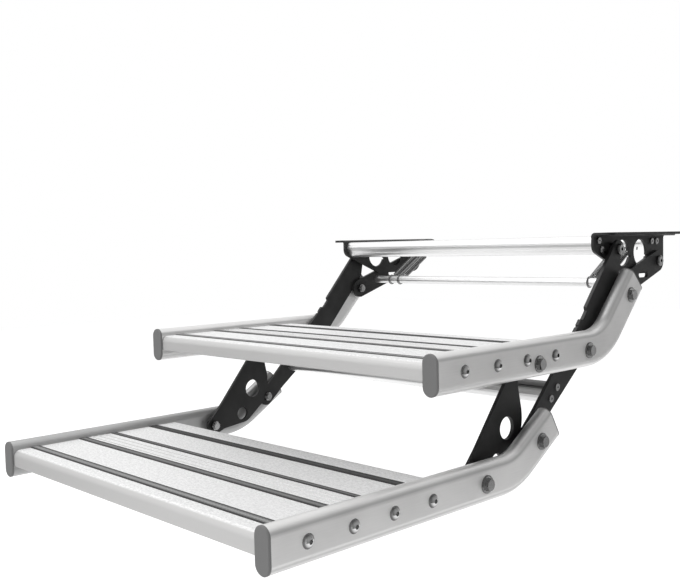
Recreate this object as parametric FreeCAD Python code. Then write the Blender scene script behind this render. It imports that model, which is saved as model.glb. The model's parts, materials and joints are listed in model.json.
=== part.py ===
import FreeCAD, Part
import math
import os

# Double folding entry step for a caravan door, shown unfolded. Millimetres, +Z up,
# the steps reach out to -Y and X runs across. The origin is midway between the two
# centre holes, on top of the mounting flanges. A step's own frame has s backwards
# from the front of its rails and h up from their bottom.

# Places of the two steps
step_width = 600.0
upper_front_y = -538.6
upper_bottom_z = -189.9
step_going = 258.4
step_rise = 143.6

# Side rails, a bent hollow extrusion
rail_thick = 23.0
rail_height = 51.4
rail_wall = 2.2
rail_bend_radius = 94.0
upper_kink_s = 381.9
upper_arm_angle = 45.0
upper_arm_length = 129.0
lower_kink_s = 417.4
lower_arm_angle = 31.0
lower_arm_length = 100.0

# Rail end caps
front_cap_thick = 3.0
rear_cap_thick = 2.0
cap_overhang = 0.15
cap_plug_depth = 12.0
cap_plug_wall = 2.0
cap_plug_clearance = 0.15

# Tread planks
tread_top_h = 40.0
tread_setback = 0.3
first_seam_s = 107.0
second_seam_s = 162.0
third_seam_s = 230.5
tread_rear_s = 280.0
plank_wall = 2.6
plank_leg = 13.0
nose_leg = 23.0
nose_radius = 9.0
seam_round = 0.8
rib_first_s = 128.0
rib_pitch = 11.0
rib_wide = 4.0
rib_high = 0.8

# Grip strips
first_strip_s = 29.0
first_strip_wide = 15.0
second_strip_wide = 14.0
third_strip_wide = 9.5
fourth_strip_wide = 15.5
strip_depth = 3.4
strip_proud = 0.6
strip_groove = 1.2
strip_groove_deep = 0.9

# Tread screws and their bosses
screw_h = 26.0
first_screw_s = 52.1
second_screw_s = 118.3
third_screw_s = 182.0
fourth_screw_s = 247.8
screw_d = 5.0
screw_head_d = 16.6
screw_head_high = 4.6
screw_socket = 5.0
screw_grip = 18.0
boss_d = 8.0
boss_web = 3.0
hole_clearance = 0.4

# Mounting brackets, bent steel plate
plate_thick = 4.0
bracket_bend = 6.0
flange_long = 260.0
flange_wide = 33.0
flange_corner = 12.0
plate_rear_y = 89.0
plate_bottom_z = -65.5
plate_front_z = -27.4
plate_knee_y = -36.0
plate_rear_round = 24.0
plate_small_round = 14.0
slot_inset = 17.0
slot_long = 36.0
slot_wide = 10.0
slot_inner_y = 47.0
slot_outer_y = 99.0
lighten_d = 41.0
lighten_z = -31.5
lighten_front_y = -43.0
lighten_rear_y = 11.0
pilot_d = 4.0
pilot_back = 21.0
pilot_down = 6.0

# Pivots in the unfolded position
front_pivot = (-75.0, -25.2)
rear_pivot = (61.0, -46.5)
upper_bend_bolt = (334.2, 24.5)
upper_arm_bolt_along = 100.0
upper_mid_bolt = (209.6, 18.3)
lower_bend_bolt = (351.2, 24.8)
lower_arm_bolt_along = 63.7

# Link plates, pressed steel
link_thick = 5.0
rail_gap = 2.0
layer_gap = 0.5
front_boss_r = 14.0
front_link_fore = 13.5
front_link_back = 28.0
neck_along = 6.0
neck_back = 11.5
neck_end = 33.0
scoop_start = 125.0
scoop_end = 147.0
scoop_fore = 8.9
nick_along = 160.0
nick_r = 2.2
elbow_along = 166.0
tail_fore = 12.5
tail_back = 16.0
tail_end_r = 15.0
rear_link_half = 17.0
rear_slot_near = 44.3
rear_slot_near_off = -7.6
rear_slot_far = 63.7
rear_slot_far_off = -1.4
rear_slot_wide = 9.0
lower_link_half = 9.5
lower_link_end_r = 12.0
belly_along = 88.0
belly_off = -66.0
belly_round = 18.0
belly_hole_along = 84.4
belly_hole_off = -30.6
belly_hole_d = 30.4
heel_hole_along = 131.0
heel_hole_off = -39.0
heel_hole_d = 22.0

# Crossbars: an oval extrusion with two screw bosses inside
bar_wide = 30.0
bar_high = 18.0
bar_wall = 2.0
bar_boss_pitch = 16.0
bar_boss_d = 8.6
bar_groove_wide = 4.0
bar_groove_deep = 1.0
front_bar = (-111.4, -18.5)
front_bar_tilt = -58.0
rear_bar = (56.0, -14.5)
rear_bar_tilt = 0.0
link_bar_along = 76.0
link_bar_off = -6.9
link_bar_wide = 34.0
link_bar_boss_pitch = 21.0
bar_screw_d = 5.0
bar_screw_head_d = 11.0
bar_screw_head_high = 2.4
link_screw_head_high = 1.4
bar_screw_long = 16.0
bar_screw_socket = 3.0

# Round crossbar between the rear links
tube_d = 14.0
tube_wall = 3.0
tube_along = 103.7
tube_screw_d = 5.0
tube_screw_head_d = 10.0
tube_screw_head_high = 2.0

# Pivot bolts, washers, studs and nuts
pin_d = 10.0
pin_clearance = 0.1
side_play = 0.3
head_flange_d = 23.0
head_flange_thick = 1.8
head_hex = 14.0
head_high = 6.5
frame_head_d = 17.0
frame_head_high = 5.0
nut_hex = 14.0
nut_high = 8.0
nut_collar_high = 2.5
washer_d = 20.0
stud_collar_d = 15.0

# Return springs
spring_anchor = (56.0, -21.0)
spring_ring_inner_r = 18.15
spring_wire_d = 2.2
spring_low_clearance = 0.4
spring_coil_d = 12.0
spring_coil_gap = 2.0
spring_inset = 39.5
spring_pitch = 22.0

# Sizes and places that follow from the ones above
rail_outer_x = step_width / 2.0
rail_inner_x = rail_outer_x - rail_thick
rail_mid_x = (rail_outer_x + rail_inner_x) / 2.0
rail_mid_h = rail_height / 2.0
front_link_outer_x = rail_inner_x - rail_gap
front_link_inner_x = front_link_outer_x - link_thick
rear_link_outer_x = front_link_inner_x - layer_gap
rear_link_inner_x = rear_link_outer_x - link_thick
bracket_outer_x = rear_link_inner_x - layer_gap
bracket_inner_x = bracket_outer_x - plate_thick
slot_x = bracket_inner_x + slot_inset
outer_spring_x = rear_link_inner_x - spring_inset
inner_spring_x = outer_spring_x - spring_pitch
flange_outer_x = bracket_inner_x + flange_wide
pin_hole_d = pin_d + pin_clearance
shelf_h = tread_top_h - strip_depth
skin_h = tread_top_h - plank_wall
tread_front_s = front_cap_thick + tread_setback


def arm_point(kink_s, angle, along, off=0.0):
    """A point in a step's frame, along the rising arm from the kink and off its middle line."""
    turn = math.radians(angle)
    s = kink_s + along * math.cos(turn) - off * math.sin(turn)
    return (s, rail_mid_h + along * math.sin(turn) + off * math.cos(turn))


def place(frame, point):
    return (frame[0] + point[0], frame[1] + point[1])


upper_frame = (upper_front_y, upper_bottom_z)
lower_frame = (upper_front_y - step_going, upper_bottom_z - step_rise)
upper_arm_bolt = arm_point(upper_kink_s, upper_arm_angle, upper_arm_bolt_along)
lower_arm_bolt = arm_point(lower_kink_s, lower_arm_angle, lower_arm_bolt_along)
bend_pivot = place(upper_frame, upper_bend_bolt)
arm_pivot = place(upper_frame, upper_arm_bolt)
mid_pivot = place(upper_frame, upper_mid_bolt)
low_front_pivot = place(lower_frame, lower_bend_bolt)
low_rear_pivot = place(lower_frame, lower_arm_bolt)


def vec(x, y, z):
    return FreeCAD.Vector(x, y, z)


def line_frame(start, end):
    """Unit vectors along the line and towards its upper front side, and the line's length."""
    dy = end[0] - start[0]
    dz = end[1] - start[1]
    long = math.hypot(dy, dz)
    along = (dy / long, dz / long)
    fore = (along[1], -along[0])
    return along, fore, long


def off_line(start, end, along, fore):
    """The point at a distance along the line and to its upper front side."""
    a, n, _ = line_frame(start, end)
    return (start[0] + a[0] * along + n[0] * fore, start[1] + a[1] * along + n[1] * fore)


def outline(corners):
    """A closed wire in the plane x = 0 through corners (y, z, radius), each rounded."""
    count = len(corners)
    joins = []
    for i in range(count):
        y, z, radius = corners[i]
        here = vec(0, y, z)
        to_before = vec(0, corners[i - 1][0] - y, corners[i - 1][1] - z)
        to_after = vec(0, corners[(i + 1) % count][0] - y, corners[(i + 1) % count][1] - z)
        if radius <= 0:
            joins.append((here, None, here))
            continue
        to_before.normalize()
        to_after.normalize()
        half = to_before.getAngle(to_after) / 2.0
        back = radius / math.tan(half)
        middle = to_before + to_after
        middle.normalize()
        centre = here + middle * (radius / math.sin(half))
        joins.append((here + to_before * back, centre - middle * radius, here + to_after * back))
    edges = []
    for i in range(count):
        first, mid, last = joins[i]
        if mid is not None:
            edges.append(Part.Arc(first, mid, last).toShape())
        start = joins[(i + 1) % count][0]
        if last.distanceToPoint(start) > 1e-6:
            edges.append(Part.makeLine(last, start))
    return Part.Wire(edges)


def corner(point, radius):
    return (point[0], point[1], radius)


def plate(wire, x_from, x_to):
    """A flat piece with the wire as its outline, between two planes across X."""
    solid = Part.Face(wire).extrude(vec(x_to - x_from, 0, 0))
    solid.translate(vec(x_from, 0, 0))
    return solid


def box_corners(y_from, y_to, z_from, z_to):
    return [(y_from, z_from, 0), (y_to, z_from, 0), (y_to, z_to, 0), (y_from, z_to, 0)]


def rod(x_from, x_to, point, diameter):
    return Part.makeCylinder(diameter / 2.0, x_to - x_from, vec(x_from, point[0], point[1]), vec(1, 0, 0))


def sleeve(x_from, x_to, point, outer_d, inner_d):
    return rod(x_from, x_to, point, outer_d).cut(rod(x_from - 1, x_to + 1, point, inner_d))


def hex_prism(x_from, x_to, point, across):
    radius = across / math.sqrt(3.0)
    corners = []
    for i in range(6):
        turn = math.radians(60 * i)
        corners.append((point[0] + radius * math.cos(turn), point[1] + radius * math.sin(turn), 0))
    return plate(outline(corners), min(x_from, x_to), max(x_from, x_to))


def hexagon(x_from, x_to, point, across):
    """A hexagonal prism whose end at x_to has its corners turned off."""
    radius = across / math.sqrt(3.0)
    prism = hex_prism(x_from, x_to, point, across)
    high = abs(x_to - x_from)
    side = 1 if x_to > x_from else -1
    slope = radius - across / 2.0
    start = vec(x_from, point[0], point[1])
    cone = Part.makeCone(radius + high - slope, radius - slope, high, start, vec(side, 0, 0))
    return prism.common(cone)


def stadium(wide, high):
    """Corners of an oval with round ends, long in Y, about the origin."""
    half_w = wide / 2.0
    half_h = high / 2.0
    turn = half_h - 0.01
    return [(-half_w, -half_h, turn), (half_w, -half_h, turn), (half_w, half_h, turn), (-half_w, half_h, turn)]


def mirrored(shape):
    return shape.mirror(vec(0, 0, 0), vec(1, 0, 0))


def both_sides(shapes):
    return Part.makeCompound(shapes + [mirrored(one) for one in shapes])


def moved(shape, frame):
    out = shape.copy()
    out.translate(vec(0, frame[0], frame[1]))
    return out


def edges_at_x(shape, x):
    found = []
    for edge in shape.Edges:
        if abs(edge.BoundBox.XMin - x) < 0.01 and abs(edge.BoundBox.XMax - x) < 0.01:
            found.append(edge)
    return found


def rail_face(inset):
    """The rail's oval section, standing in the plane y = 0, drawn in by the inset."""
    half = rail_thick / 2.0 - inset
    low = rail_thick / 2.0
    high = rail_height - rail_thick / 2.0
    a = vec(rail_mid_x - half, 0, low)
    b = vec(rail_mid_x - half, 0, high)
    c = vec(rail_mid_x + half, 0, high)
    d = vec(rail_mid_x + half, 0, low)
    edges = [Part.makeLine(a, b)]
    edges.append(Part.Arc(b, vec(rail_mid_x, 0, high + half), c).toShape())
    edges.append(Part.makeLine(c, d))
    edges.append(Part.Arc(d, vec(rail_mid_x, 0, low - half), a).toShape())
    return Part.Face(Part.Wire(edges))


def rail_body(inset, kink_s, angle, arm_length):
    """A straight run, one bend and a rising arm, all with the same section."""
    tangent = rail_bend_radius * math.tan(math.radians(angle) / 2.0)
    start = kink_s - tangent
    face = rail_face(inset)
    face.translate(vec(0, front_cap_thick, 0))
    straight = face.extrude(vec(0, start - front_cap_thick, 0))
    at_bend = rail_face(inset)
    at_bend.translate(vec(0, start, 0))
    centre = vec(0, start, rail_mid_h + rail_bend_radius)
    bend = at_bend.revolve(centre, vec(1, 0, 0), angle)
    at_arm = at_bend.copy()
    at_arm.rotate(centre, vec(1, 0, 0), angle)
    turn = math.radians(angle)
    run = arm_length - tangent
    arm = at_arm.extrude(vec(0, run * math.cos(turn), run * math.sin(turn)))
    return straight.fuse([bend, arm]).removeSplitter()


def screw_places():
    return [first_screw_s, second_screw_s, third_screw_s, fourth_screw_s]


def make_rail(kink_s, angle, arm_length, bolts):
    rail = rail_body(0.0, kink_s, angle, arm_length)
    rail = rail.cut(rail_body(rail_wall, kink_s, angle, arm_length))
    holes = []
    for s in screw_places():
        holes.append(rod(rail_inner_x - 1, rail_outer_x + 1, (s, screw_h), screw_d + hole_clearance))
    for bolt in bolts:
        holes.append(rod(rail_inner_x - 1, rail_outer_x + 1, bolt, pin_hole_d))
    return rail.cut(holes)


def make_cap(thick):
    """A cap in the plane y = 0: the lid in front of it and a hollow plug behind it."""
    lid = rail_face(-cap_overhang).extrude(vec(0, -thick, 0))
    rim = []
    for edge in lid.Edges:
        if edge.BoundBox.YMax < -thick + 0.01:
            rim.append(edge)
    lid = lid.makeChamfer(thick * 0.35, rim)
    plug = rail_face(rail_wall + cap_plug_clearance).extrude(vec(0, cap_plug_depth, 0))
    hollow = rail_face(rail_wall + cap_plug_clearance + cap_plug_wall).extrude(vec(0, cap_plug_depth, 0))
    return lid.fuse(plug.cut(hollow)).removeSplitter()


def front_cap():
    cap = make_cap(front_cap_thick)
    cap.translate(vec(0, front_cap_thick, 0))
    return cap


def rear_cap(kink_s, angle, arm_length):
    """A cap turned to close the end of a rising arm."""
    end = arm_point(kink_s, angle, arm_length)
    cap = make_cap(rear_cap_thick)
    cap.translate(vec(0, 0, -rail_mid_h))
    cap.rotate(vec(0, 0, 0), vec(1, 0, 0), 180 + angle)
    cap.translate(vec(0, end[0], end[1]))
    return cap


def strip_span(index):
    """The first strip lies in a groove, the others in a rebate at their plank's front edge."""
    starts = [first_strip_s, first_seam_s, second_seam_s, third_seam_s]
    wides = [first_strip_wide, second_strip_wide, third_strip_wide, fourth_strip_wide]
    return starts[index], starts[index] + wides[index]


def plank_span(index):
    seams = [tread_front_s, first_seam_s, second_seam_s, third_seam_s, tread_rear_s]
    return seams[index], seams[index + 1]


def make_plank(index):
    """An open extrusion: top skin, two legs, a seat for the grip strip and a screw boss."""
    front, rear = plank_span(index)
    strip_from, strip_to = strip_span(index)
    leg_h = tread_top_h - plank_leg
    nose_h = tread_top_h - nose_leg
    top = tread_top_h
    pts = []
    if index == 0:
        pts += [(front, nose_h, 1.2), (front, top, nose_radius)]
        pts += [(strip_from, top, 0.4), (strip_from, shelf_h, 0)]
    else:
        pts += [(front, leg_h, 0.6), (front, shelf_h, 0)]
    pts += [(strip_to, shelf_h, 0), (strip_to, top, 0.4)]
    if index == 1:
        for step in range(3):
            rib = rib_first_s + step * rib_pitch
            pts += [(rib - rib_wide / 2.0, top, 0), (rib - rib_wide / 4.0, top + rib_high, 0)]
            pts += [(rib + rib_wide / 4.0, top + rib_high, 0), (rib + rib_wide / 2.0, top, 0)]
    pts += [(rear, top, seam_round), (rear, leg_h, 0.6), (rear - plank_wall, leg_h, 0.6)]
    pts += [(rear - plank_wall, skin_h, 1.2)]
    seat_h = shelf_h - plank_wall
    pts += [(strip_to + plank_wall, skin_h, 0), (strip_to + plank_wall, seat_h, 0)]
    if index == 0:
        pts += [(strip_from - plank_wall, seat_h, 0), (strip_from - plank_wall, skin_h, 0)]
        pts += [(front + plank_wall, skin_h, nose_radius - plank_wall), (front + plank_wall, nose_h, 0)]
    else:
        pts += [(front + plank_wall, seat_h, 0), (front + plank_wall, leg_h, 0.6)]
    body = plate(outline(pts), -rail_inner_x, rail_inner_x)
    screw = (screw_places()[index], screw_h)
    web = box_corners(screw[0] - boss_web / 2.0, screw[0] + boss_web / 2.0, screw_h, skin_h + plank_wall / 2.0)
    column = plate(outline(web), -rail_inner_x, rail_inner_x)
    boss = rod(-rail_inner_x, rail_inner_x, screw, boss_d)
    body = body.fuse([column, boss]).removeSplitter()
    seat = plate(outline(box_corners(strip_from, strip_to, shelf_h, top)), -rail_inner_x, rail_inner_x)
    body = body.cut(seat)
    return body.cut(rod(-rail_inner_x - 1, rail_inner_x + 1, screw, screw_d))


def make_strip(index):
    """A grip strip with two fine grooves, laid on its seat and a little proud."""
    span_from, span_to = strip_span(index)
    top = tread_top_h + strip_proud
    half = strip_groove / 2.0
    floor = top - strip_groove_deep
    pts = [(span_from, shelf_h, 0), (span_from, top, 0.5)]
    for share in (1.0 / 3.0, 2.0 / 3.0):
        centre = span_from + (span_to - span_from) * share
        pts += [(centre - half, top, 0), (centre - half, floor, 0)]
        pts += [(centre + half, floor, 0), (centre + half, top, 0)]
    pts += [(span_to, top, 0.5), (span_to, shelf_h, 0)]
    return plate(outline(pts), -rail_inner_x, rail_inner_x)


def tread_screw(s):
    """A button-head screw through the rail into the plank's boss."""
    point = (s, screw_h)
    shank = rod(rail_inner_x - screw_grip, rail_outer_x, point, screw_d)
    ball_r = (screw_head_d ** 2 / 4.0 + screw_head_high ** 2) / (2 * screw_head_high)
    ball = Part.makeSphere(ball_r, vec(rail_outer_x + screw_head_high - ball_r, s, screw_h))
    head = ball.common(rod(rail_outer_x, rail_outer_x + screw_head_high + 1, point, screw_head_d + 2))
    mouth = rail_outer_x + screw_head_high * 2
    socket = hex_prism(mouth, rail_outer_x + screw_head_high * 0.45, point, screw_socket)
    return head.fuse(shank).cut(socket)


def flange_slot(y):
    half = (slot_long - slot_wide) / 2.0
    cutter = Part.makeBox(slot_wide, 2 * half, plate_thick + 2)
    cutter.translate(vec(slot_x - slot_wide / 2.0, y - half, -plate_thick - 1))
    ends = []
    for end in (y - half, y + half):
        ends.append(Part.makeCylinder(slot_wide / 2.0, plate_thick + 2, vec(slot_x, end, -plate_thick - 1)))
    return cutter.fuse(ends)


def make_bracket():
    """A steel angle: a side plate with lightening holes under an outward mounting flange."""
    half = flange_long / 2.0
    root_x = bracket_inner_x + bracket_bend
    inner_bend = bracket_bend - plate_thick
    deep = plate_bottom_z - 1
    bend = vec(root_x, 0, -bracket_bend)
    diagonal = vec(-math.sqrt(0.5), 0, math.sqrt(0.5))
    a = vec(bracket_inner_x, 0, deep)
    b = vec(bracket_inner_x, 0, -bracket_bend)
    c = vec(root_x, 0, 0)
    d = vec(flange_outer_x, 0, 0)
    e = vec(flange_outer_x, 0, -plate_thick)
    f = vec(root_x, 0, -plate_thick)
    g = vec(bracket_outer_x, 0, -bracket_bend)
    h = vec(bracket_outer_x, 0, deep)
    edges = [Part.makeLine(a, b), Part.Arc(b, bend + diagonal * bracket_bend, c).toShape()]
    edges += [Part.makeLine(c, d), Part.makeLine(d, e), Part.makeLine(e, f)]
    edges.append(Part.Arc(f, bend + diagonal * inner_bend, g).toShape())
    edges += [Part.makeLine(g, h), Part.makeLine(h, a)]
    angle = Part.Face(Part.Wire(edges)).extrude(vec(0, flange_long, 0))
    angle.translate(vec(0, -half, 0))

    side = [(-half, 1, 0), (-half, plate_front_z, plate_small_round)]
    side += [(plate_knee_y, plate_bottom_z, plate_small_round), (plate_rear_y, plate_bottom_z, plate_rear_round)]
    side += [(plate_rear_y, -bracket_bend, 4), (half, -bracket_bend, 0), (half, 1, 0)]
    angle = angle.common(plate(outline(side), bracket_inner_x - 2, flange_outer_x + 2))

    block = Part.makeBox(flange_wide + 2, flange_long, abs(deep) + 3)
    block.translate(vec(bracket_inner_x - 2, -half, deep - 1))
    uprights = []
    for edge in block.Edges:
        if edge.BoundBox.ZLength > 10 and edge.BoundBox.XMin > flange_outer_x - 1:
            uprights.append(edge)
    angle = angle.common(block.makeFillet(flange_corner, uprights))

    cuts = []
    for y in (-slot_outer_y, -slot_inner_y, slot_inner_y, slot_outer_y):
        cuts.append(flange_slot(y))
    cuts.append(Part.makeCylinder(slot_wide / 2.0, plate_thick + 2, vec(slot_x, 0, -plate_thick - 1)))
    low_x = bracket_inner_x - 1
    high_x = bracket_outer_x + 1
    for y in (lighten_front_y, lighten_rear_y):
        cuts.append(rod(low_x, high_x, (y, lighten_z), lighten_d))
        cuts.append(rod(low_x, high_x, (y + pilot_back, lighten_z - pilot_down), pilot_d))
    for pivot in (front_pivot, rear_pivot):
        cuts.append(rod(low_x, high_x, pivot, pin_hole_d))
    holes = bar_bosses(front_bar, front_bar_tilt, bar_boss_pitch)
    holes += bar_bosses(rear_bar, rear_bar_tilt, bar_boss_pitch)
    for hole in holes:
        cuts.append(rod(low_x, high_x, hole, bar_screw_d + hole_clearance))
    return angle.cut(cuts)


def bar_bosses(centre, tilt, pitch):
    turn = math.radians(tilt)
    out = []
    for side in (-0.5, 0.5):
        out.append((centre[0] + side * pitch * math.cos(turn), centre[1] + side * pitch * math.sin(turn)))
    return out


def make_bar(centre, tilt, x_half, wide, pitch, groove_side):
    """An oval extruded bar with two screw bosses inside and a groove along one wide face."""
    bar = plate(outline(stadium(wide, bar_high)), -x_half, x_half)
    core = plate(outline(stadium(wide - 2 * bar_wall, bar_high - 2 * bar_wall)), -x_half, x_half)
    keep = []
    for hole in bar_bosses((0, 0), 0, pitch):
        keep.append(rod(-x_half, x_half, hole, bar_boss_d))
        web = box_corners(hole[0] - 1, hole[0] + 1, -bar_high / 2.0, bar_high / 2.0)
        keep.append(plate(outline(web), -x_half, x_half))
    bar = bar.cut(core.cut(keep))
    cuts = []
    for hole in bar_bosses((0, 0), 0, pitch):
        cuts.append(rod(-x_half - 1, x_half + 1, hole, bar_screw_d))
    face = groove_side * bar_high / 2.0
    low = min(face, face - groove_side * bar_groove_deep) - (0 if groove_side > 0 else 1)
    high = max(face, face - groove_side * bar_groove_deep) + (1 if groove_side > 0 else 0)
    half = bar_groove_wide / 2.0
    cuts.append(plate(outline(box_corners(-half, half, low, high)), -x_half - 1, x_half + 1))
    bar = bar.cut(cuts).removeSplitter()
    bar.rotate(vec(0, 0, 0), vec(1, 0, 0), tilt)
    bar.translate(vec(0, centre[0], centre[1]))
    return bar


def socket_screw(point, seat_x, head_d, head_high, thread_d, tip_x):
    """A low-head screw standing on the plane seat_x, its thread pointing to the middle."""
    head = rod(seat_x, seat_x + head_high, point, head_d)
    head = head.makeChamfer(head_high * 0.35, edges_at_x(head, seat_x + head_high))
    socket = hex_prism(seat_x + head_high * 2, seat_x + head_high * 0.4, point, bar_screw_socket)
    return head.fuse(rod(tip_x, seat_x, point, thread_d)).cut(socket)


def make_front_link():
    """The long arm from the bracket past the upper rail's bend down to the lower rail."""
    a, b, c = front_pivot, bend_pivot, low_rear_pivot
    arm = line_frame(a, b)[2]
    tail = line_frame(b, c)[2]
    r = front_boss_r
    pts = [corner(off_line(a, b, -r, front_link_fore), r * 0.95)]
    deep = front_link_fore - scoop_fore
    pts.append(corner(off_line(a, b, scoop_start, front_link_fore), 1.5))
    pts.append(corner(off_line(a, b, scoop_start + deep * 0.5, scoop_fore), 2))
    pts.append(corner(off_line(a, b, scoop_end - deep * 0.5, scoop_fore), 2))
    pts.append(corner(off_line(a, b, scoop_end, front_link_fore), 1.5))
    pts.append(corner(off_line(a, b, elbow_along, front_link_fore), 80))
    pts.append(corner(off_line(b, c, tail - 40, tail_fore), 60))
    pts.append(corner(off_line(b, c, tail + tail_end_r, tail_end_r - 1), tail_end_r * 0.9))
    pts.append(corner(off_line(b, c, tail + tail_end_r, -tail_end_r), tail_end_r * 0.9))
    pts.append(corner(off_line(b, c, tail - 34, -tail_back), 40))
    pts.append(corner(off_line(a, b, arm + 4, -front_link_back), 60))
    pts.append(corner(off_line(a, b, neck_end, -front_link_back), 8))
    pts.append(corner(off_line(a, b, neck_along, -neck_back), 12))
    pts.append(corner(off_line(a, b, -r, -neck_back), neck_back * 0.9))
    link = plate(outline(pts), front_link_inner_x, front_link_outer_x)
    nick = off_line(a, b, nick_along, front_link_fore)
    cuts = [rod(front_link_inner_x - 1, front_link_outer_x + 1, nick, 2 * nick_r)]
    for pivot in (a, b, c):
        cuts.append(rod(front_link_inner_x - 1, front_link_outer_x + 1, pivot, pin_hole_d))
    for hole in bar_bosses(link_bar, link_bar_tilt, link_bar_boss_pitch):
        cuts.append(rod(front_link_inner_x - 1, front_link_outer_x + 1, hole, bar_screw_d + hole_clearance))
    return link.cut(cuts)


def make_rear_link():
    """The short arm from the bracket's rear corner to the end of the upper rail."""
    a, b = rear_pivot, arm_pivot
    long = line_frame(a, b)[2]
    r = rear_link_half
    turn = r - 0.05
    pts = [corner(off_line(a, b, -r, r), turn), corner(off_line(a, b, long + r, r), turn)]
    pts += [corner(off_line(a, b, long + r, -r), turn), corner(off_line(a, b, -r, -r), turn)]
    link = plate(outline(pts), rear_link_inner_x, rear_link_outer_x)
    low_x = rear_link_inner_x - 1
    high_x = rear_link_outer_x + 1
    near = off_line(a, b, rear_slot_near, rear_slot_near_off)
    far = off_line(a, b, rear_slot_far, rear_slot_far_off)
    run = line_frame(near, far)[2]
    half = rear_slot_wide / 2.0
    slot = []
    for along, side in ((-half, half), (run + half, half), (run + half, -half), (-half, -half)):
        slot.append(corner(off_line(near, far, along, side), half - 0.02))
    cuts = [plate(outline(slot), low_x, high_x)]
    for pivot in (a, b):
        cuts.append(rod(low_x, high_x, pivot, pin_hole_d))
    cuts.append(rod(low_x, high_x, tube_centre, tube_screw_d + hole_clearance))
    return link.cut(cuts)


def make_lower_link():
    """The plate that carries the lower step, with a deep belly and two round holes in it."""
    a, b = mid_pivot, low_front_pivot
    long = line_frame(a, b)[2]
    half = lower_link_half
    end = lower_link_end_r
    pts = [corner(off_line(a, b, -half, half), half * 0.9)]
    pts.append(corner(off_line(a, b, long - 40, half - 0.5), 80))
    pts.append(corner(off_line(a, b, long + end, end), end * 0.85))
    pts.append(corner(off_line(a, b, long + end, -end), end * 0.85))
    pts.append(corner(off_line(a, b, long - 8, -end - 10), 20))
    pts.append(corner(off_line(a, b, belly_along + 48, belly_off + 10), 25))
    pts.append(corner(off_line(a, b, belly_along, belly_off), belly_round))
    pts.append(corner(off_line(a, b, belly_along - 32, belly_off + 11), 60))
    pts.append(corner(off_line(a, b, 22, -half), 20))
    pts.append(corner(off_line(a, b, -half, -half), half * 0.9))
    link = plate(outline(pts), rear_link_inner_x, rear_link_outer_x)
    low_x = rear_link_inner_x - 1
    high_x = rear_link_outer_x + 1
    hole = off_line(a, b, belly_hole_along, belly_hole_off)
    cuts = [rod(low_x, high_x, hole, belly_hole_d)]
    heel = off_line(a, b, heel_hole_along, heel_hole_off)
    cuts.append(rod(low_x, high_x, heel, heel_hole_d))
    for pivot in (a, b):
        cuts.append(rod(low_x, high_x, pivot, pin_hole_d))
    return link.cut(cuts)


def rail_bolt(point, tip_x):
    """A flanged hexagon bolt with its head outside the rail and its shank pointing inwards."""
    seat = rail_outer_x
    collar = rod(seat, seat + head_flange_thick, point, head_flange_d)
    collar = collar.makeChamfer(head_flange_thick * 0.5, edges_at_x(collar, seat + head_flange_thick))
    head = hexagon(seat + head_flange_thick / 2.0, seat + head_high, point, head_hex)
    return collar.fuse([head, rod(tip_x, seat, point, pin_d)]).removeSplitter()


def frame_bolt(point, seat_x):
    """A low domed bolt on the outer face of a link, its shank reaching through the bracket."""
    head = rod(seat_x, seat_x + frame_head_high, point, frame_head_d)
    head = head.makeChamfer(frame_head_high * 0.35, edges_at_x(head, seat_x + frame_head_high))
    socket = hex_prism(seat_x + frame_head_high * 2, seat_x + frame_head_high * 0.5, point, screw_socket)
    tip_x = bracket_inner_x - nut_high - 1
    return head.fuse(rod(tip_x, seat_x, point, pin_d)).cut(socket)


def lock_nut(point, seat_x):
    """A hexagon nut on the inner end of a bolt, its locking collar to the middle."""
    neck_x = seat_x - nut_high + nut_collar_high
    flats = hex_prism(seat_x, neck_x, point, nut_hex)
    collar = rod(seat_x - nut_high, neck_x, point, nut_hex * 0.86)
    return flats.fuse(collar).cut(rod(seat_x - nut_high - 1, seat_x + 1, point, pin_d))


def link_stud(point):
    """A shouldered stud that ends just short of the rail's inner wall."""
    shoulder = rod(rear_link_outer_x, rail_inner_x - side_play, point, stud_collar_d)
    shank = rod(rear_link_inner_x - nut_high - 1, rear_link_outer_x, point, pin_d)
    return shoulder.fuse(shank).removeSplitter()


def ring(radius, centre_z):
    """Wire bent to a ring that stands across X, its section drawn as an octagon."""
    wire = spring_wire_d / 2.0
    pts = []
    for i in range(9):
        turn = math.radians(45 * i + 22.5)
        pts.append(vec(wire * math.sin(turn), 0, radius + wire * math.cos(turn)))
    bent = Part.Face(Part.makePolygon(pts)).revolve(vec(0, 0, 0), vec(1, 0, 0), 360)
    bent.translate(vec(0, 0, centre_z))
    return bent


def make_spring():
    """An extension spring along +Z from its upper ring's centre, its close coils as one body."""
    long = line_frame(spring_anchor, tube_centre)[2]
    wire = spring_wire_d / 2.0
    top_r = spring_ring_inner_r + wire
    low_r = tube_d / 2.0 + spring_low_clearance + wire
    coil_from = top_r + wire + spring_coil_gap
    coil_to = long - low_r - wire - spring_coil_gap
    outer = spring_coil_d / 2.0
    shoulder = outer - wire
    pts = [vec(0, 0, coil_from), vec(shoulder, 0, coil_from), vec(outer, 0, coil_from + wire)]
    pts += [vec(outer, 0, coil_to - wire), vec(shoulder, 0, coil_to), vec(0, 0, coil_to), vec(0, 0, coil_from)]
    coil = Part.Face(Part.makePolygon(pts)).revolve(vec(0, 0, 0), vec(0, 0, 1), 360)
    upper_neck = Part.makeCylinder(wire, coil_from - top_r + 1, vec(0, 0, top_r))
    lower_neck = Part.makeCylinder(wire, long - low_r - coil_to + 1, vec(0, 0, coil_to - 1))
    return coil.fuse([ring(top_r, 0), ring(low_r, long), upper_neck, lower_neck])


def placed_spring(x):
    """The spring turned from +Z to the line from the rear crossbar to the round one."""
    along = line_frame(spring_anchor, tube_centre)[0]
    spring = make_spring()
    spring.rotate(vec(0, 0, 0), vec(1, 0, 0), -math.degrees(math.atan2(along[0], along[1])))
    spring.translate(vec(x, spring_anchor[0], spring_anchor[1]))
    return spring


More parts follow.
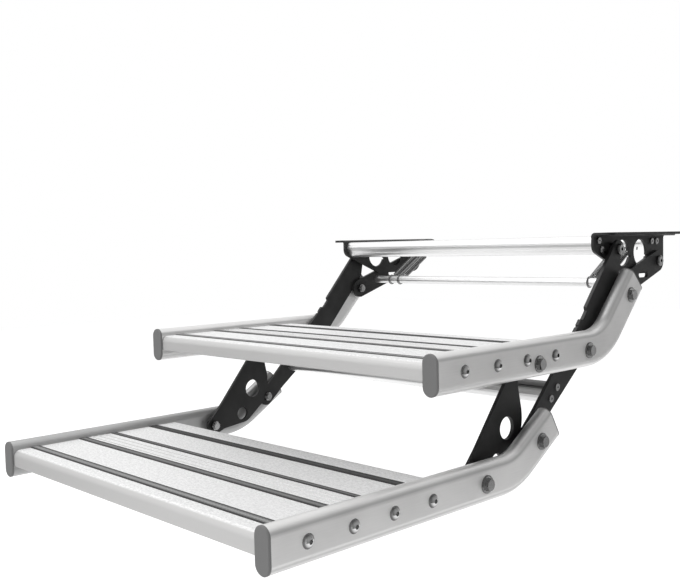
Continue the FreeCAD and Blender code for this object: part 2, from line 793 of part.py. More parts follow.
link_bar = off_line(bend_pivot, low_rear_pivot, link_bar_along, link_bar_off)
link_bar_line = line_frame(bend_pivot, low_rear_pivot)[0]
link_bar_tilt = math.degrees(math.atan2(-link_bar_line[1], -link_bar_line[0]))
tube_centre = off_line(rear_pivot, arm_pivot, tube_along, 0.0)
parts = {}


def add_pair(name, shape):
    parts["right_" + name] = shape
    parts["left_" + name] = mirrored(shape)


def build_frame():
    """The two brackets, their crossbars and the pivot bolts they carry."""
    add_pair("bracket", make_bracket())
    parts["front_crossbar"] = make_bar(front_bar, front_bar_tilt, bracket_inner_x, bar_wide, bar_boss_pitch, -1)
    parts["rear_crossbar"] = make_bar(rear_bar, rear_bar_tilt, bracket_inner_x, bar_wide, bar_boss_pitch, -1)
    holes = bar_bosses(front_bar, front_bar_tilt, bar_boss_pitch)
    holes += bar_bosses(rear_bar, rear_bar_tilt, bar_boss_pitch)
    screws = []
    for hole in holes:
        tip_x = bracket_inner_x - bar_screw_long
        screws.append(socket_screw(hole, bracket_outer_x, bar_screw_head_d, bar_screw_head_high, bar_screw_d, tip_x))
    parts["crossbar_screws"] = both_sides(screws)
    front_seat = front_link_outer_x + side_play
    rear_seat = rear_link_outer_x + side_play
    parts["front_pivot_bolts"] = both_sides([frame_bolt(front_pivot, front_seat)])
    parts["rear_pivot_bolts"] = both_sides([frame_bolt(rear_pivot, rear_seat)])
    spacer = sleeve(bracket_outer_x, front_link_inner_x - side_play, front_pivot, washer_d, pin_hole_d)
    parts["front_pivot_spacers"] = both_sides([spacer])
    nuts = [lock_nut(front_pivot, bracket_inner_x), lock_nut(rear_pivot, bracket_inner_x)]
    parts["frame_nuts"] = both_sides(nuts)


def build_links():
    """The three pairs of links with the crossbars and studs that move with them."""
    add_pair("front_link", make_front_link())
    link_x = front_link_inner_x
    parts["link_crossbar"] = make_bar(link_bar, link_bar_tilt, link_x, link_bar_wide, link_bar_boss_pitch, 1)
    screws = []
    for hole in bar_bosses(link_bar, link_bar_tilt, link_bar_boss_pitch):
        seat = front_link_outer_x
        tip_x = link_x - bar_screw_long
        screws.append(socket_screw(hole, seat, bar_screw_head_d, link_screw_head_high, bar_screw_d, tip_x))
    parts["link_crossbar_screws"] = both_sides(screws)
    add_pair("rear_link", make_rear_link())
    bore = tube_d - 2 * tube_wall
    tube = sleeve(-rear_link_inner_x, rear_link_inner_x, tube_centre, tube_d, bore)
    plug_x = rear_link_inner_x - bar_screw_long
    for side in (-1, 1):
        low_x = plug_x if side > 0 else -rear_link_inner_x
        plug = sleeve(low_x, low_x + bar_screw_long, tube_centre, tube_d, tube_screw_d)
        tube = tube.fuse(plug)
    parts["spring_crossbar"] = tube.removeSplitter()
    end = socket_screw(tube_centre, rear_link_outer_x, tube_screw_head_d, tube_screw_head_high, tube_screw_d, plug_x)
    parts["spring_crossbar_screws"] = both_sides([end])
    parts["rear_link_studs"] = both_sides([link_stud(arm_pivot)])
    parts["rear_link_nuts"] = both_sides([lock_nut(arm_pivot, rear_link_inner_x)])
    add_pair("lower_link", make_lower_link())
    parts["lower_link_studs"] = both_sides([link_stud(low_front_pivot)])
    parts["lower_link_nuts"] = both_sides([lock_nut(low_front_pivot, rear_link_inner_x)])
    springs = [placed_spring(inner_spring_x), placed_spring(outer_spring_x)]
    parts["return_springs"] = both_sides(springs)


def build_step(prefix, frame, kink_s, angle, arm_length, bolts):
    """Two bent rails, four planks between them, their strips, caps and screws."""
    add_pair(prefix + "_rail", moved(make_rail(kink_s, angle, arm_length, bolts), frame))
    for side in ("right_", "left_"):
        parts[prefix + "_" + side + "rail"] = parts.pop(side + prefix + "_rail")
    parts[prefix + "_front_caps"] = both_sides([moved(front_cap(), frame)])
    parts[prefix + "_rear_caps"] = both_sides([moved(rear_cap(kink_s, angle, arm_length), frame)])
    names = ["front_plank", "ribbed_plank", "third_plank", "rear_plank"]
    strips = []
    screws = []
    for index, name in enumerate(names):
        parts[prefix + "_" + name] = moved(make_plank(index), frame)
        strips.append(moved(make_strip(index), frame))
        screws.append(moved(tread_screw(screw_places()[index]), frame))
    parts[prefix + "_grip_strips"] = Part.makeCompound(strips)
    parts[prefix + "_tread_screws"] = both_sides(screws)


def build_rail_bolts():
    """Bolts, washers, bushes and nuts at the pivots on the two pairs of rails."""
    deep_tip = front_link_inner_x - side_play - nut_high - 1
    mid_tip = rear_link_inner_x - side_play - nut_high - 1
    washer = front_link_outer_x + side_play
    bush = rear_link_outer_x + side_play
    parts["upper_bend_bolts"] = both_sides([rail_bolt(bend_pivot, deep_tip)])
    parts["upper_mid_bolts"] = both_sides([rail_bolt(mid_pivot, mid_tip)])
    parts["upper_arm_bolts"] = both_sides([rail_bolt(arm_pivot, rail_inner_x)])
    parts["upper_washers"] = both_sides([sleeve(washer, rail_inner_x, bend_pivot, washer_d, pin_hole_d)])
    parts["upper_bushes"] = both_sides([sleeve(bush, rail_inner_x, mid_pivot, stud_collar_d, pin_hole_d)])
    nuts = [lock_nut(bend_pivot, front_link_inner_x - side_play)]
    nuts.append(lock_nut(mid_pivot, rear_link_inner_x - side_play))
    parts["upper_nuts"] = both_sides(nuts)
    parts["lower_bend_bolts"] = both_sides([rail_bolt(low_front_pivot, rail_inner_x)])
    parts["lower_arm_bolts"] = both_sides([rail_bolt(low_rear_pivot, deep_tip)])
    parts["lower_washers"] = both_sides([sleeve(washer, rail_inner_x, low_rear_pivot, washer_d, pin_hole_d)])
    parts["lower_nuts"] = both_sides([lock_nut(low_rear_pivot, front_link_inner_x - side_play)])


build_frame()
build_links()
upper_bolts = [upper_bend_bolt, upper_arm_bolt, upper_mid_bolt]
lower_bolts = [lower_bend_bolt, lower_arm_bolt]
build_step("upper", upper_frame, upper_kink_s, upper_arm_angle, upper_arm_length, upper_bolts)
build_step("lower", lower_frame, lower_kink_s, lower_arm_angle, lower_arm_length, lower_bolts)
build_rail_bolts()

os.makedirs("parts", exist_ok=True)
for name, shape in parts.items():
    shape.exportStep("parts/" + name + ".step")
    print(name, len(shape.Solids), round(shape.Volume / 1000.0, 2), shape.isValid())
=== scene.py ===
import bpy
import json
import math
import numpy as np
from mathutils import Matrix, Vector


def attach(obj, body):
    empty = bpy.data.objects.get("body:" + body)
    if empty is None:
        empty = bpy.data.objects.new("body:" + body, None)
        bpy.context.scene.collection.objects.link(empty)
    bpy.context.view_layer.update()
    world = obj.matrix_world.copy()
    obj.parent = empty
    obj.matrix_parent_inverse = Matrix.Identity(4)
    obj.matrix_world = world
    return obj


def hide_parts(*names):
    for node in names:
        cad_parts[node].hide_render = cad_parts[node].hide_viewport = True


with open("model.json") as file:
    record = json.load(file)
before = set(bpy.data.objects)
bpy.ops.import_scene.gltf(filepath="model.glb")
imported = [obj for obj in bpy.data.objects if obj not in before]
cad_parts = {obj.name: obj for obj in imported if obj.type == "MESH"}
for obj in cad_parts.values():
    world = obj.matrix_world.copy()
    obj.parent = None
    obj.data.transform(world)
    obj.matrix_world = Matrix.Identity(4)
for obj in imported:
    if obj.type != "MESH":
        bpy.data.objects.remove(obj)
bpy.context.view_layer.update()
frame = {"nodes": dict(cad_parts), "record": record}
cadNodes = frame["nodes"]
print("stage: frame loaded,", len(cadNodes), "nodes")


# shader helpers: a socket that takes part in Python maths, and one way to add any node
class Value:
    # a wrapped socket, so that mask * 0.2 + 0.1 or 1 - mask adds its Math nodes
    def __init__(self, finish, socket):
        self.finish = finish
        self.socket = socket

    def math(self, operation, first, second=None):
        parts = {0: first}
        if second is not None:
            parts[1] = second
        return self.finish.add("ShaderNodeMath", {"operation": operation}, parts)

    def __add__(self, other):
        return self.math("ADD", self, other)

    def __radd__(self, other):
        return self.math("ADD", other, self)

    def __sub__(self, other):
        return self.math("SUBTRACT", self, other)

    def __rsub__(self, other):
        return self.math("SUBTRACT", other, self)

    def __mul__(self, other):
        return self.math("MULTIPLY", self, other)

    def __rmul__(self, other):
        return self.math("MULTIPLY", other, self)

    def __truediv__(self, other):
        return self.math("DIVIDE", self, other)

    def __rtruediv__(self, other):
        return self.math("DIVIDE", other, self)

    def __lt__(self, other):
        return self.math("LESS_THAN", self, other)

    def __gt__(self, other):
        return self.math("GREATER_THAN", self, other)

    def __abs__(self):
        return self.math("ABSOLUTE", self)


class Finish:
    # the nodes of one material, or of the world when it is given as the owner
    def __init__(self, name, owner=None, outputKind="ShaderNodeOutputMaterial"):
        self.material = owner or bpy.data.materials.new(name)
        self.material.use_nodes = True
        self.tree = self.material.node_tree
        self.tree.nodes.clear()
        self.output = self.tree.nodes.new(outputKind)

    def add(self, kind, settings=None, sockets=None, out=0):
        # any node: its type, its settings first, then the values or links of its sockets
        node = self.tree.nodes.new(kind)
        for key, value in (settings or {}).items():
            setattr(node, key, value)
        for key, value in (sockets or {}).items():
            target = node.inputs[key]
            if isinstance(value, Value):
                self.tree.links.new(value.socket, target)
            else:
                target.default_value = value
        return Value(self, node.outputs[out])

    def place(self, scale=(1, 1, 1)):
        # object coordinates in metres, stretched so that a grain can run along an axis
        here = self.add("ShaderNodeTexCoord", out=3)
        return self.add("ShaderNodeMapping", None, {0: here, "Scale": scale})

    def facing(self):
        # the surface's own direction, in the object's axes
        return self.add("ShaderNodeTexCoord", out=1)

    def axis(self, vector, index):
        # one coordinate of a vector: 0 for x, 1 for y, 2 for z
        return self.add("ShaderNodeSeparateXYZ", None, {0: vector}, out=index)

    def noise(self, vector, scale, detail=3.0, roughness=0.55):
        sockets = {"Vector": vector, "Scale": scale, "Detail": detail, "Roughness": roughness}
        return self.add("ShaderNodeTexNoise", None, sockets)

    def ramp(self, factor, low, high, fromValue=0.0, toValue=1.0):
        # clamps factor from low..high to fromValue..toValue
        sockets = {0: factor, 1: low, 2: high, 3: fromValue, 4: toValue}
        return self.add("ShaderNodeMapRange", {"clamp": True}, sockets)

    def mix(self, factor, first, second):
        sockets = {0: factor, 6: first, 7: second}
        return self.add("ShaderNodeMix", {"data_type": "RGBA"}, sockets, out=2)

    def bump(self, height, strength, distance):
        sockets = {"Height": height, "Strength": strength, "Distance": distance}
        return self.add("ShaderNodeBump", None, sockets)

    def surface(self, **sockets):
        named = {key.replace("_", " "): value for key, value in sockets.items()}
        shader = self.add("ShaderNodeBsdfPrincipled", None, named)
        self.tree.links.new(shader.socket, self.output.inputs["Surface"])
        return self.material


def grey(level, warmth=0.0):
    # a grey colour, a little warm where warmth is above 0
    return (level * (1 + warmth), level, level * (1 - warmth), 1.0)


# what a user would change in each finish, beside the code that uses it
railLook = {
    "light": 0.80,
    "dark": 0.74,
    "tint": 0.006,
    "metal": 0.60,
    "rough": 0.38,
    "lineScale": 900.0,
    "blotchScale": 14.0,
    "lineShare": 0.35,  # how much of the tone comes from the lines, and the rest from the blotch
    "crease": 0.38,  # tone of a painted dark reflection line where the flat side turns into the rounded edge
    "creaseDepth": 0.55,
    "creaseTurn": (0.80, 0.93, 0.955, 0.995),  # |nx| where it fades in and out
    "inner": 0.30,  # tone of a painted reflection of the black links, on the arms' faces towards them
    "innerDepth": 0.85,
    "innerTurn": (0.20, 0.55),  # -ny where it fades in
    "shade": 0.44,  # tone of the far lower rail's upper and inner faces
    "shadeToX": -0.2,
    "shadeDepth": (0.22, 0.26),  # -z where it fades in
    "shadeTurn": (-0.6, -0.2),  # nx where it fades in
}


def railFinish():
    # satin anodised metal: long faint drawing lines along the rail and a soft blotch, with painted dark
    # reflections and a painted shade
    f = Finish("satinAnodisedRail")
    here = f.place()
    lines = f.noise(f.place((1, 0.03, 1)), railLook["lineScale"], 2.0)
    blotch = f.noise(here, railLook["blotchScale"], 4.0)
    share = railLook["lineShare"]
    tone = f.ramp(lines * share + blotch * (1 - share), 0.35, 0.65)
    tint = railLook["tint"]
    colour = f.mix(tone, grey(railLook["dark"], tint), grey(railLook["light"], tint))
    # painted dark reflection line: mask = rise(|nx|) * (1 - later rise(|nx|))
    facing = f.facing()
    sideways = f.axis(facing, 0)
    start, full, fade, end = railLook["creaseTurn"]
    crease = f.ramp(abs(sideways), start, full) * (1.0 - f.ramp(abs(sideways), fade, end))
    colour = f.mix(crease * railLook["creaseDepth"], colour, grey(railLook["crease"]))
    # painted reflection of the black links: the faces turned forward take a dark tone
    forward = f.ramp(-1.0 * f.axis(facing, 1), *railLook["innerTurn"])
    colour = f.mix(forward * railLook["innerDepth"], colour, grey(railLook["inner"]))
    # a shaded tone, painted by place, on the upper and inner faces of the far lower rail
    farSide = f.axis(here, 0) < railLook["shadeToX"]
    below = f.ramp(-1.0 * f.axis(here, 2), *railLook["shadeDepth"])
    shaded = farSide * below * f.ramp(sideways, *railLook["shadeTurn"])
    colour = f.mix(shaded, colour, grey(railLook["shade"]))
    rough = f.ramp(blotch, 0.3, 0.7, railLook["rough"] - 0.05, railLook["rough"] + 0.06)
    bump = f.bump(lines, 0.08, 0.0001)
    return f.surface(Base_Color=colour, Metallic=railLook["metal"], Roughness=rough, Normal=bump)


treadLook = {
    "light": 0.93,
    "dark": 0.72,
    "smooth": 0.55,  # tone of the smooth sides and the nose, darker than the top as painted shade
    "metal": 0.45,
    "rough": 0.50,
    "grainHigh": 0.00016,  # metres
    "grainScale": 760.0,
    "speckScale": 330.0,
    "upTurn": (0.80, 0.97),  # nz where the grained top begins
    "endX": 0.277,  # the planks' ends, where a painted contact shade meets the rails
    "endWide": 0.0022,
    "endShade": 0.25,
}


def treadFinish():
    # silver plank: a fine irregular grain on the face that is stood on, smooth sides and nose painted
    # darker as shade
    f = Finish("grainedTreadPlank")
    upward = f.ramp(f.axis(f.facing(), 2), *treadLook["upTurn"])
    grain = f.noise(f.place((0.35, 1, 1)), treadLook["grainScale"], 4.0, 0.75)
    speck = f.noise(f.place((0.6, 1, 1)), treadLook["speckScale"], 3.0, 0.6)
    mask = f.ramp(grain * 0.6 + speck * 0.4, 0.44, 0.58)
    worn = f.mix(mask, grey(treadLook["dark"]), grey(treadLook["light"]))
    # the grain on the top is the plank's finish; the darker sides and nose are painted shade
    colour = f.mix(upward, grey(treadLook["smooth"], 0.006), worn)
    across = f.axis(f.place(), 0)
    # painted contact shade along the planks' ends, where they meet the rails
    joint = f.ramp(abs(across), treadLook["endX"] - treadLook["endWide"], treadLook["endX"])
    colour = f.mix(joint, colour, grey(treadLook["endShade"]))
    rough = treadLook["rough"] - upward * (mask * 0.12 - 0.10)
    bump = f.bump(mask * upward, 0.35, treadLook["grainHigh"])
    return f.surface(Base_Color=colour, Metallic=treadLook["metal"], Roughness=rough, Normal=bump)


barLook = {
    "light": 0.86,
    "metal": 0.9,
    "rough": 0.30,
    "lineScale": 1400.0,
    "groove": 0.55,
    "grooveHalf": (0.0014, 0.0026),  # metres from the groove's middle, where it fades out
}
# each bar's middle line (y, z), its tilt in degrees, and where a groove's painted shade and a band of
# painted shade and reflection lie across it
barFaces = {
    "front_crossbar": {
        "middle": (-0.1114, -0.0185),
        "tilt": -58,
        "groove": -0.005,
        "band": (0.0080, 0.0120),
        "shade": 0.74,
    },
    "rear_crossbar": {
        "middle": (0.0560, -0.0145),
        "tilt": 0,
        "groove": 0.0,
        "band": (0.0120, 0.0150),
        "shade": 0.62,
    },
    "link_crossbar": {
        "middle": (-0.2560, -0.2216),
        "tilt": 42.3,
        "groove": -0.014,
        "band": (-0.008, -0.001),
        "shade": 0.12,
    },
}


def barFinish(name, face):
    # bright extruded bar: faint drawing lines, painted shade along a groove and a band of painted shade
    # and reflection on its wide face
    f = Finish(name)
    lines = f.noise(f.place((0.01, 1, 1)), barLook["lineScale"], 2.0)
    rough = f.ramp(lines, 0.3, 0.7, barLook["rough"] - 0.02, barLook["rough"] + 0.05)
    colour = f.mix(lines, grey(barLook["light"] * 0.95), grey(barLook["light"]))
    # across = (y - y0) * cos(tilt) + (z - z0) * sin(tilt), in metres from the bar's middle line
    here = f.place()
    y, z = f.axis(here, 1), f.axis(here, 2)
    turn = math.radians(face["tilt"])
    across = (y - face["middle"][0]) * math.cos(turn) + (z - face["middle"][1]) * math.sin(turn)
    # painted shade along the groove line
    groove = 1.0 - f.ramp(abs(across - face["groove"]), *barLook["grooveHalf"])
    colour = f.mix(groove, colour, grey(barLook["groove"]))
    # a band of painted shade and reflection across the wide face
    colour = f.mix(f.ramp(across, *face["band"]), colour, grey(face["shade"]))
    return f.surface(Base_Color=colour, Metallic=barLook["metal"], Roughness=rough)


blackLook = {
    "light": 0.020,
    "dark": 0.010,
    "rough": 0.40,
    "specular": 0.35,
    "peelScale": 420.0,
    "dustScale": 22.0,
}


def blackFinish():
    # black powder coat: low orange peel, a little dust and wear
    f = Finish("blackPowderCoat")
    here = f.place()
    peel = f.noise(here, blackLook["peelScale"], 2.0)
    dust = f.noise(here, blackLook["dustScale"], 5.0, 0.6)
    colour = f.mix(f.ramp(dust, 0.4, 0.7), grey(blackLook["dark"]), grey(blackLook["light"]))
    rough = f.ramp(dust, 0.3, 0.7, blackLook["rough"] - 0.06, blackLook["rough"] + 0.10)
    bump = f.bump(peel, 0.10, 0.0002)
    specular = blackLook["specular"]
    return f.surface(Base_Color=colour, Roughness=rough, Specular_IOR_Level=specular, Normal=bump)


stripLook = {
    "light": 0.38,
    "dark": 0.25,
    "rough": 0.75,
    "edge": 0.016,  # tone of the painted shade along the two edges of each strip
    "gritScale": 1500.0,
    "edgeStart": (0.42, 0.66),  # where it fades in, as a share of the half width
    "reach": 1.25,  # past this share the surface belongs to another strip
    "stepFronts": (-0.5386, -0.7970),
    "starts": (0.029, 0.107, 0.162, 0.2305),  # behind the front of a step
    "wides": (0.015, 0.014, 0.0095, 0.0155),
    "depths": (0.0, 0.35, 0.45, 0.85),  # how far the whole strip takes the edges' painted shade
}


def stripFinish():
    # dark grip strip with a gritty face, and painted shade along its edges
    f = Finish("gripStrip")
    here = f.place()
    grit = f.noise(here, stripLook["gritScale"], 3.0, 0.7)
    colour = f.mix(f.ramp(grit, 0.4, 0.62), grey(stripLook["dark"]), grey(stripLook["light"]))
    # off = |y - centre| / half width
    along = f.axis(here, 1)
    low, high = stripLook["edgeStart"]
    # painted shade: dark along each strip's edges, and over a share of the whole strip
    edges = 0.0
    for front in stripLook["stepFronts"]:
        for start, wide, depth in zip(stripLook["starts"], stripLook["wides"], stripLook["depths"]):
            off = abs(along - (front + start + wide / 2)) / (wide / 2)
            edges = edges + f.ramp(off, low, high, depth, 1.0) * (off < stripLook["reach"])
    colour = f.mix(edges, colour, grey(stripLook["edge"]))
    return f.surface(Base_Color=colour, Roughness=stripLook["rough"], Normal=f.bump(grit, 0.5, 0.0002))


capLook = {"light": 0.185, "dark": 0.165, "rough": 0.6, "mottleScale": 900.0}


def capFinish():
    # grey moulded end cap with a faint mottle
    f = Finish("greyMouldedCap")
    mottle = f.noise(f.place(), capLook["mottleScale"], 3.0)
    colour = f.mix(mottle, grey(capLook["dark"]), grey(capLook["light"]))
    return f.surface(Base_Color=colour, Roughness=capLook["rough"], Normal=f.bump(mottle, 0.15, 0.0001))


# grain is the noise scale of the polish, and rim the tone of a head's sides, a painted shade and dark
# reflection
metalLooks = {
    "round_bar": {"name": "brightRoundBar", "light": 0.76, "rough": 0.34, "grain": 40.0},
    "chrome_hardware": {"name": "polishedHead", "light": 0.64, "rough": 0.14, "grain": 500.0, "rim": 0.12},
    "zinc_hardware": {"name": "zincHardware", "light": 0.56, "rough": 0.22, "grain": 500.0, "rim": 0.14},
    "spring_wire": {"name": "springWire", "light": 0.22, "rough": 0.20, "grain": 700.0},
}
rimTurn = (0.70, 0.92)  # |nx| where a head's side ends


def plainMetal(look):
    # turned or plated metal with a faint uneven polish, where the sides of a head can take a painted shade
    # and dark reflection
    f = Finish(look["name"])
    polish = f.noise(f.place(), look["grain"], 4.0)
    rough = f.ramp(polish, 0.3, 0.7, look["rough"] * 0.85, look["rough"] * 1.2)
    colour = f.mix(polish, grey(look["light"] * 0.94), grey(look["light"]))
    if "rim" in look:
        # painted shade and dark reflection on the sides of a head
        outward = f.ramp(abs(f.axis(f.facing(), 0)), *rimTurn)
        colour = f.mix(outward, grey(look["rim"]), colour)
    return f.surface(Base_Color=colour, Metallic=1.0, Roughness=rough)


finishes = {
    "rail_aluminium": railFinish(),
    "tread_aluminium": treadFinish(),
    "black_steel": blackFinish(),
    "grip_rubber": stripFinish(),
    "cap_plastic": capFinish(),
}
finishes.update({slot: plainMetal(look) for slot, look in metalLooks.items()})
barFinishes = {node: barFinish(node + "Finish", face) for node, face in barFaces.items()}
for row in frame["record"]["subparts"]:
    piece = cadNodes[row["node"]]
    piece.data.materials.clear()
    piece.data.materials.append(barFinishes.get(row["node"]) or finishes[row["material_slot"]])
print("stage: finishes on", len(cadNodes), "nodes")


def gridMesh(name, points, finish, closeV=False):
    # a mesh from an array of points[u, v, xyz]: u runs along, v runs round
    rows, columns = points.shape[:2]
    index = np.arange(rows * columns).reshape(rows, columns)
    a, b = index[:-1], index[1:]
    aNext = np.roll(a, -1, 1) if closeV else a[:, 1:]
    bNext = np.roll(b, -1, 1) if closeV else b[:, 1:]
    if not closeV:
        a, b = a[:, :-1], b[:, :-1]
    quads = np.stack([a, b, bNext, aNext], -1).reshape(-1, 4)
    faces = [tuple(q) for q in quads.tolist()]
    mesh = bpy.data.meshes.new(name)
    mesh.from_pydata(points.reshape(-1, 3).tolist(), [], faces)
    mesh.update()
    mesh.materials.append(finish)
    mesh.polygons.foreach_set("use_smooth", np.ones(len(mesh.polygons), bool))
    piece = bpy.data.objects.new(name, mesh)
    bpy.context.scene.collection.objects.link(piece)
    return piece


def wireAlong(path, radius, sides=10):
    # a round tube: a circle across the path at each point, its frame carried along without twist
    tangent = np.gradient(path, axis=0)
    tangent /= np.linalg.norm(tangent, axis=1)[:, None]
    normal = np.zeros_like(path)
    start = np.cross(tangent[0], [1.0, 0.0, 0.0])
    if np.linalg.norm(start) < 0.1:
        start = np.cross(tangent[0], [0.0, 1.0, 0.0])
    normal[0] = start / np.linalg.norm(start)
    for i in range(1, len(path)):
        step = normal[i - 1] - tangent[i] * np.dot(normal[i - 1], tangent[i])
        normal[i] = step / np.linalg.norm(step)
    binormal = np.cross(tangent, normal)
    around = np.linspace(0, 2 * math.pi, sides, endpoint=False)
    cosine, sine = np.cos(around)[None, :, None], np.sin(around)[None, :, None]
    return path[:, None] + (normal[:, None] * cosine + binormal[:, None] * sine) * radius


# the four return springs: an open hook over the rear crossbar, close coils, a small ring on the round bar
springShape = {
    "anchor": (0.056, -0.021),  # y and z of the hook's centre, which the springs turn about
    "low": (-0.03777560, -0.07807643),  # y and z of the small ring's centre, on the round bar's axis
    "inset": (0.203, 0.225),  # x of the two springs on each side
    "bigRing": 0.01925,  # radii of the hook, the small ring and the wire
    "smallRing": 0.0085,
    "wire": 0.0011,
    "coilRadius": 0.0049,
    "turns": 20,
    "lead": 0.006,
    "hookTurn": (0.70 * math.pi, 1.97 * math.pi),
    "ringTurn": (1.06 * math.pi, 3.0 * math.pi),
    "rise": 0.0006,  # how far the hook leans sideways in half a turn
    "hookPoints": 52,
    "ringPoints": 44,
    "easePoints": 14,
    "turnPoints": 16,
}


def springPath(shape):
    # points (x, across, w), w from 0 to the length: a hook, a lead-in, a helix and a ring
    # hook and ring = a circle's sine across and cosine along w, helix = a circle while w grows
    y0, z0 = shape["anchor"]
    y1, z1 = shape["low"]
    length = math.hypot(y1 - y0, z1 - z0)
    big, small, coil = shape["bigRing"], shape["smallRing"], shape["coilRadius"]
    w0 = big + shape["lead"]
    w1 = length - small - shape["lead"]
    turn = np.linspace(*shape["hookTurn"], shape["hookPoints"])
    top = np.stack([shape["rise"] * turn / math.pi, -big * np.sin(turn), big * np.cos(turn)], -1)
    around = np.linspace(0, 2 * math.pi * shape["turns"], shape["turns"] * shape["turnPoints"])
    along = w0 + (w1 - w0) * around / around[-1]
    helix = np.stack([coil * np.sin(around), coil * np.cos(around), along], -1)
    back = np.linspace(*shape["ringTurn"], shape["ringPoints"])
    low = np.stack([0.0 * back, small * np.sin(back), length + small * np.cos(back)], -1)
    lead = blendPath(top[-1], helix[0], shape["easePoints"])
    tail = blendPath(helix[-1], low[0], shape["easePoints"])
    return np.concatenate([top, lead, helix, tail, low]), length


def blendPath(start, end, count):
    # a short run between two points: w grows evenly with t, x and across by t * t * (3 - 2 * t)
    t = np.linspace(0, 1, count + 2)[1:-1, None]
    eased = t * t * (3 - 2 * t)
    path = start + (end - start) * eased
    path[:, 2] = start[2] + (end[2] - start[2]) * t[:, 0]
    return path


def buildSprings(shape):
    # world = centre + x * side + across * across + w * along, twice on each side of the step
    path, length = springPath(shape)
    y0, z0 = shape["anchor"]
    y1, z1 = shape["low"]
    along = np.array([0.0, (y1 - y0) / length, (z1 - z0) / length])
    side = np.array([1.0, 0.0, 0.0])
    across = np.cross(along, side)
    for name, sign in (("left", -1), ("right", 1)):
        for index, x in enumerate(shape["inset"]):
            centre = np.array([sign * x, y0, z0])
            world = centre + path[:, :1] * side + path[:, 1:2] * across + path[:, 2:] * along
            tube = wireAlong(world, shape["wire"])
            piece = gridMesh(f"{name}Spring{index}", tube, finishes["spring_wire"], closeV=True)
            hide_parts("return_springs")
            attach(piece, "return_springs")


buildSprings(springShape)
print("stage: springs wound")


studio = {
    "floorHeight": -0.62,
    "floorReach": 6.0,
    "floorGrey": 0.90,
    "floorGlow": 0.46,
    "worldLight": 0.62,
    "cardFade": (-0.60, -0.10),  # z between the two tones
    "cardLow": 0.28,
    "cardHigh": 0.50,
    "cards": {  # x, first y, last y, top z
        "rightCard": (0.88, -1.0, 2.2, 1.0),
        "leftCard": (-0.95, -1.45, 2.2, -0.12),
    },
    "lamps": {  # place, width and height, power
        "softAbove": ((-0.4, -1.1, 1.9), (2.4, 1.6), 26.0),
        "softFront": ((-1.3, -2.5, 0.6), (1.4, 1.4), 7.0),
    },
    "lampAim": (0, -0.4, -0.2),
}


def seenDirectly(finish):
    # 1 for what the camera sees, straight or in a reflection, and 0 for light that spreads
    path = finish.add("ShaderNodeLightPath")
    outputs = path.socket.node.outputs
    kinds = ("Camera", "Glossy", "Transmission")
    camera, glossy, through = [Value(finish, outputs[f"Is {kind} Ray"]) for kind in kinds]
    return finish.ramp(camera + glossy + through, 0.0, 1.0)


def flatPanel(name, corner, firstSide, secondSide, finish):
    # a rectangle: points = corner + u * firstSide + v * secondSide
    start, first, second = [np.array(part, float) for part in (corner, firstSide, secondSide)]
    steps = np.array([0.0, 1.0])
    points = start + steps[:, None, None] * first + steps[None, :, None] * second
    panel = gridMesh(name, points, finish)
    return panel


def buildFloor():
    # a pale floor that looks white and keeps the shadow
    f = Finish("paleFloor")
    glow = seenDirectly(f) * studio["floorGlow"]
    white = f.add("ShaderNodeCombineColor", None, {0: glow, 1: glow, 2: glow})
    pale = grey(studio["floorGrey"])
    f.surface(Base_Color=pale, Roughness=0.9, Emission_Color=white, Emission_Strength=1.0)
    reach = studio["floorReach"]
    corner = (-reach, -reach, studio["floorHeight"])
    flatPanel("studioFloor", corner, (2 * reach, 0, 0), (0, 2 * reach, 0), f.material)


def buildCards():
    # two dark cards that only the metal sees, darker towards the floor
    f = Finish("darkCard")
    rising = f.ramp(f.axis(f.place(), 2), *studio["cardFade"])
    tone = f.mix(rising, grey(studio["cardLow"]), grey(studio["cardHigh"]))
    f.surface(Base_Color=tone, Roughness=0.9)
    for name, (x, start, end, top) in studio["cards"].items():
        corner = (x, start, studio["floorHeight"])
        rise = (0, 0, top - studio["floorHeight"])
        card = flatPanel(name, corner, (0, end - start, 0), rise, f.material)
        card.visible_camera = False
        card.visible_diffuse = False
        card.visible_shadow = False


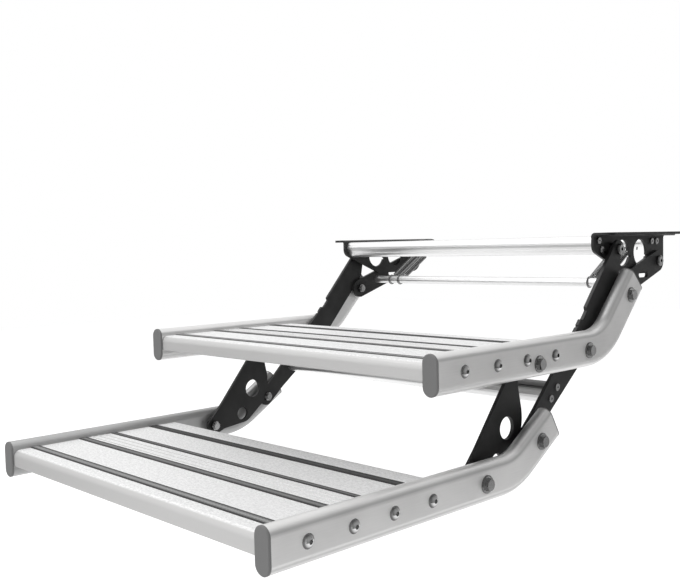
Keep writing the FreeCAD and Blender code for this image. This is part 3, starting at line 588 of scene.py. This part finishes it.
def buildWorld():
    # a white surround to the eye, and a softer one for the light
    world = bpy.data.worlds.new("studioWorld")
    bpy.context.scene.world = world
    f = Finish("studioWorld", world, "ShaderNodeOutputWorld")
    strength = f.ramp(seenDirectly(f), 0.0, 1.0, studio["worldLight"], 1.0)
    back = f.add("ShaderNodeBackground", None, {"Color": (1, 1, 1, 1), "Strength": strength})
    f.tree.links.new(back.socket, f.output.inputs["Surface"])


def buildLamps():
    # soft rectangles that look at the middle of the step
    for name, (place, size, power) in studio["lamps"].items():
        lamp = bpy.data.lights.new(name, "AREA")
        lamp.shape = "RECTANGLE"
        lamp.size, lamp.size_y = size
        lamp.energy = power
        holder = bpy.data.objects.new(name, lamp)
        bpy.context.scene.collection.objects.link(holder)
        aim = Vector(studio["lampAim"]) - Vector(place)
        holder.rotation_euler = aim.to_track_quat("-Z", "Y").to_euler()
        holder.location = place


# the camera as fitted to the photograph: angles in radians, scale and centre in pixels
view = {
    "place": (0.96908, -1.34537, -0.01018),
    "yaw": 0.825626,
    "pitch": 0.054770,
    "roll": -0.024176,
    "focalPixels": 903.96,
    "centre": (314.70, 296.02),
    "frameSize": (680, 580),
    "sensorWide": 36.0,
}


def addCamera():
    # turns the fitted yaw, pitch and roll into the camera's matrix, and the centre into its shift
    cy, sy = math.cos(view["yaw"]), math.sin(view["yaw"])
    cp, sp = math.cos(view["pitch"]), math.sin(view["pitch"])
    forward = Vector((-sy * cp, cy * cp, -sp))
    level = Vector((cy, sy, 0))
    upright = level.cross(forward)
    cr, sr = math.cos(view["roll"]), math.sin(view["roll"])
    right = level * cr + upright * sr
    up = upright * cr - level * sr
    data = bpy.data.cameras.new("studioCamera")
    holder = bpy.data.objects.new("studioCamera", data)
    bpy.context.scene.collection.objects.link(holder)
    turn = Matrix((right, up, -forward)).transposed()
    holder.matrix_world = Matrix.Translation(view["place"]) @ turn.to_4x4()
    wide, high = view["frameSize"]
    data.sensor_fit = "HORIZONTAL"
    data.sensor_width = view["sensorWide"]
    data.lens = view["focalPixels"] * view["sensorWide"] / wide
    data.shift_x = (wide / 2 - view["centre"][0]) / wide
    data.shift_y = (view["centre"][1] - high / 2) / wide
    data.clip_start = 0.05
    data.clip_end = 60.0
    bpy.context.scene.camera = holder


buildFloor()
buildCards()
buildWorld()
buildLamps()
addCamera()
bpy.context.scene.view_settings.view_transform = "Standard"
print("stage: lights and camera set")
